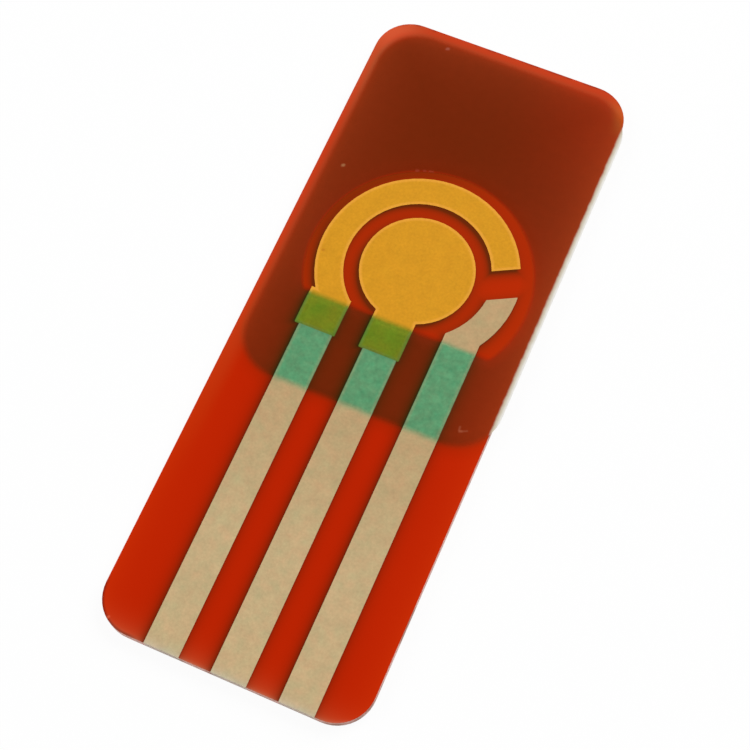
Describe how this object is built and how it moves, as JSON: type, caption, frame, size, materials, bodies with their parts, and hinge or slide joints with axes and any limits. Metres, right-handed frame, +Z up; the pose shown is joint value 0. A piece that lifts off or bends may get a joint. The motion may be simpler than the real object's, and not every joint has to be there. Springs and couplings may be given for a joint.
{
  "type": "screen printed electrode",
  "caption": "Flat disposable electrochemical test card: silver contact tracks, a silver reference pad, and a gold disc inside a broken gold ring, seen through a window in a covering film.",
  "frame": {"origin": "middle of the card's underside", "axes": "+Z up out of the printed face, +Y along the card from the contact end to the cell end, +X to the right as seen from above with the contact end nearest"},
  "size_m": [0.0104, 0.0262, 0.0006],
  "materials": {
    "red_plastic": "translucent red sheet, smooth upper face, frosted cut edges",
    "silver_ink": "silver filled printing ink, dull and finely grained, warm beige",
    "gold_ink": "gold filled printing ink, dull metallic, fine orange peel",
    "insulating_film": "translucent blue-green printed insulating film"
  },
  "bodies": {
    "root": {"substrate": "red_plastic", "counter_track": "silver_ink", "working_track": "silver_ink", "reference_track": "silver_ink", "counter_electrode": "gold_ink", "working_electrode": "gold_ink", "dielectric_layer": "insulating_film"}
  },
  "joints": []
}
